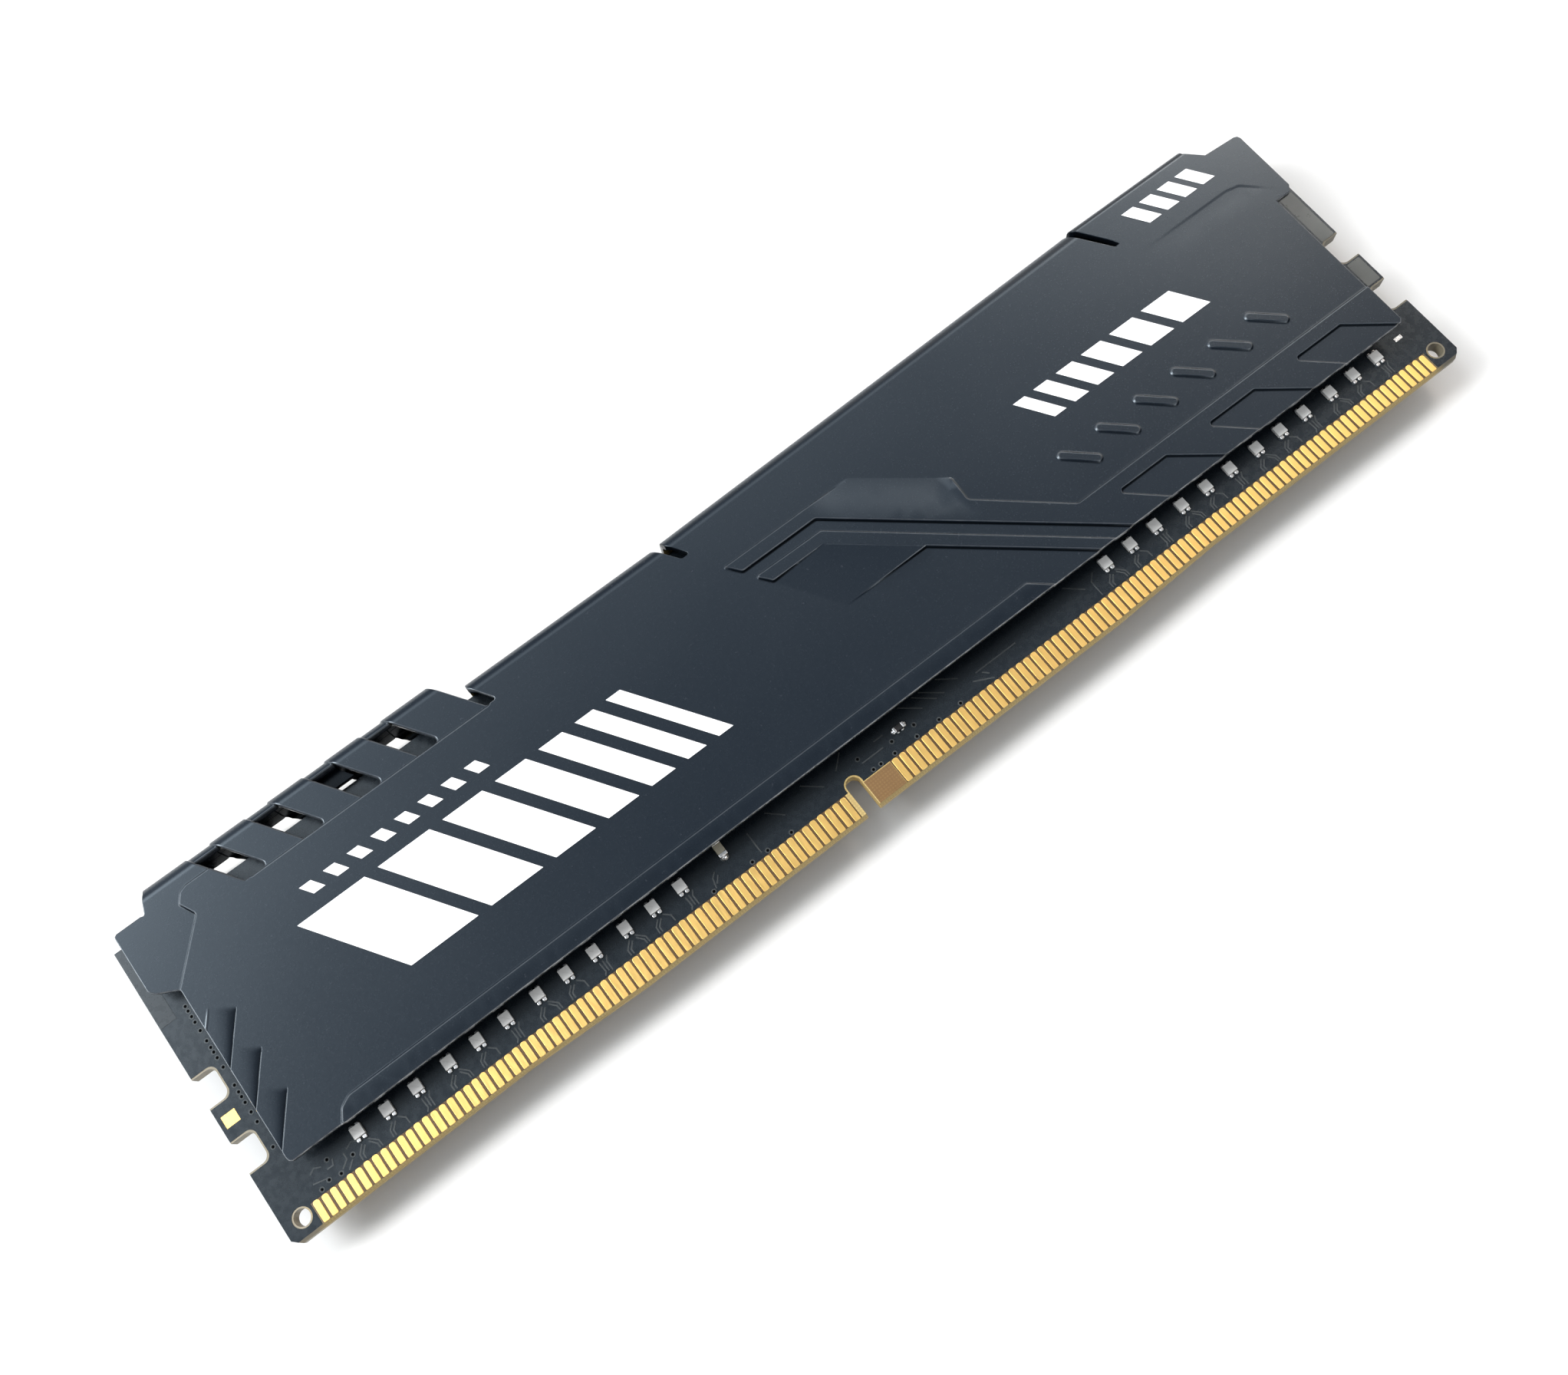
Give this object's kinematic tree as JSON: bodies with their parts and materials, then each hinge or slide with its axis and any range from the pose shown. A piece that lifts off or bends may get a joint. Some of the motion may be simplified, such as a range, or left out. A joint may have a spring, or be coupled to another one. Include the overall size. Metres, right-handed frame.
{
  "type": "desktop memory module with heat spreaders",
  "caption": "Flat circuit board with gold edge contacts, clad in two stamped black heat spreaders with slanted windows along the top edge.",
  "frame": {"origin": "middle of the module's outline, on the outer face of the front spreader that it lies on", "axes": "+X along the contact edge towards contact 145, +Y from the contact edge to the top edge, +Z out of the rear face"},
  "size_m": [0.1334, 0.034, 0.0072],
  "materials": {
    "laminate": "satin",
    "solder_mask": "satin",
    "contact_gold": "satin",
    "solder": "satin",
    "chip_mould": "matte",
    "array_ceramic": "satin",
    "capacitor_ceramic": "satin",
    "thermal_pad": "matte",
    "foam_pad": "matte",
    "spreader_metal": "satin",
    "printed_ink": "matte"
  },
  "bodies": {
    "root": {"pcb_core": "laminate", "solder_mask_rear": "solder_mask", "solder_mask_front": "solder_mask", "edge_contacts_rear_left": "contact_gold", "edge_contacts_rear_right": "contact_gold", "edge_contacts_front_left": "contact_gold", "edge_contacts_front_right": "contact_gold", "ground_pad_rear": "contact_gold", "tinned_pad_rear": "solder", "dram_chip_1": "chip_mould", "dram_chip_2": "chip_mould", "dram_chip_3": "chip_mould", "dram_chip_4": "chip_mould", "dram_chip_5": "chip_mould", "dram_chip_6": "chip_mould", "dram_chip_7": "chip_mould", "dram_chip_8": "chip_mould", "dram_solder_balls_left": "solder", "dram_solder_balls_right": "solder", "resistor_array_bodies_rear": "array_ceramic", "resistor_array_terminals_rear": "solder", "resistor_array_bodies_front": "array_ceramic", "resistor_array_terminals_front": "solder", "capacitor_bodies_rear": "capacitor_ceramic", "capacitor_terminals_rear": "solder", "capacitor_bodies_front": "capacitor_ceramic", "capacitor_terminals_front": "solder", "chip_resistor_body": "chip_mould", "chip_resistor_terminals": "solder", "spd_eeprom": "chip_mould", "spd_solder_lands": "solder", "thermal_pad_front_left": "thermal_pad", "thermal_pad_front_right": "thermal_pad", "foam_pad_rear_left": "foam_pad", "foam_pad_rear_right": "foam_pad", "rear_spreader": "spreader_metal", "front_spreader": "spreader_metal", "printed_marks_rear": "printed_ink", "printed_marks_front": "printed_ink"}
  },
  "joints": []
}
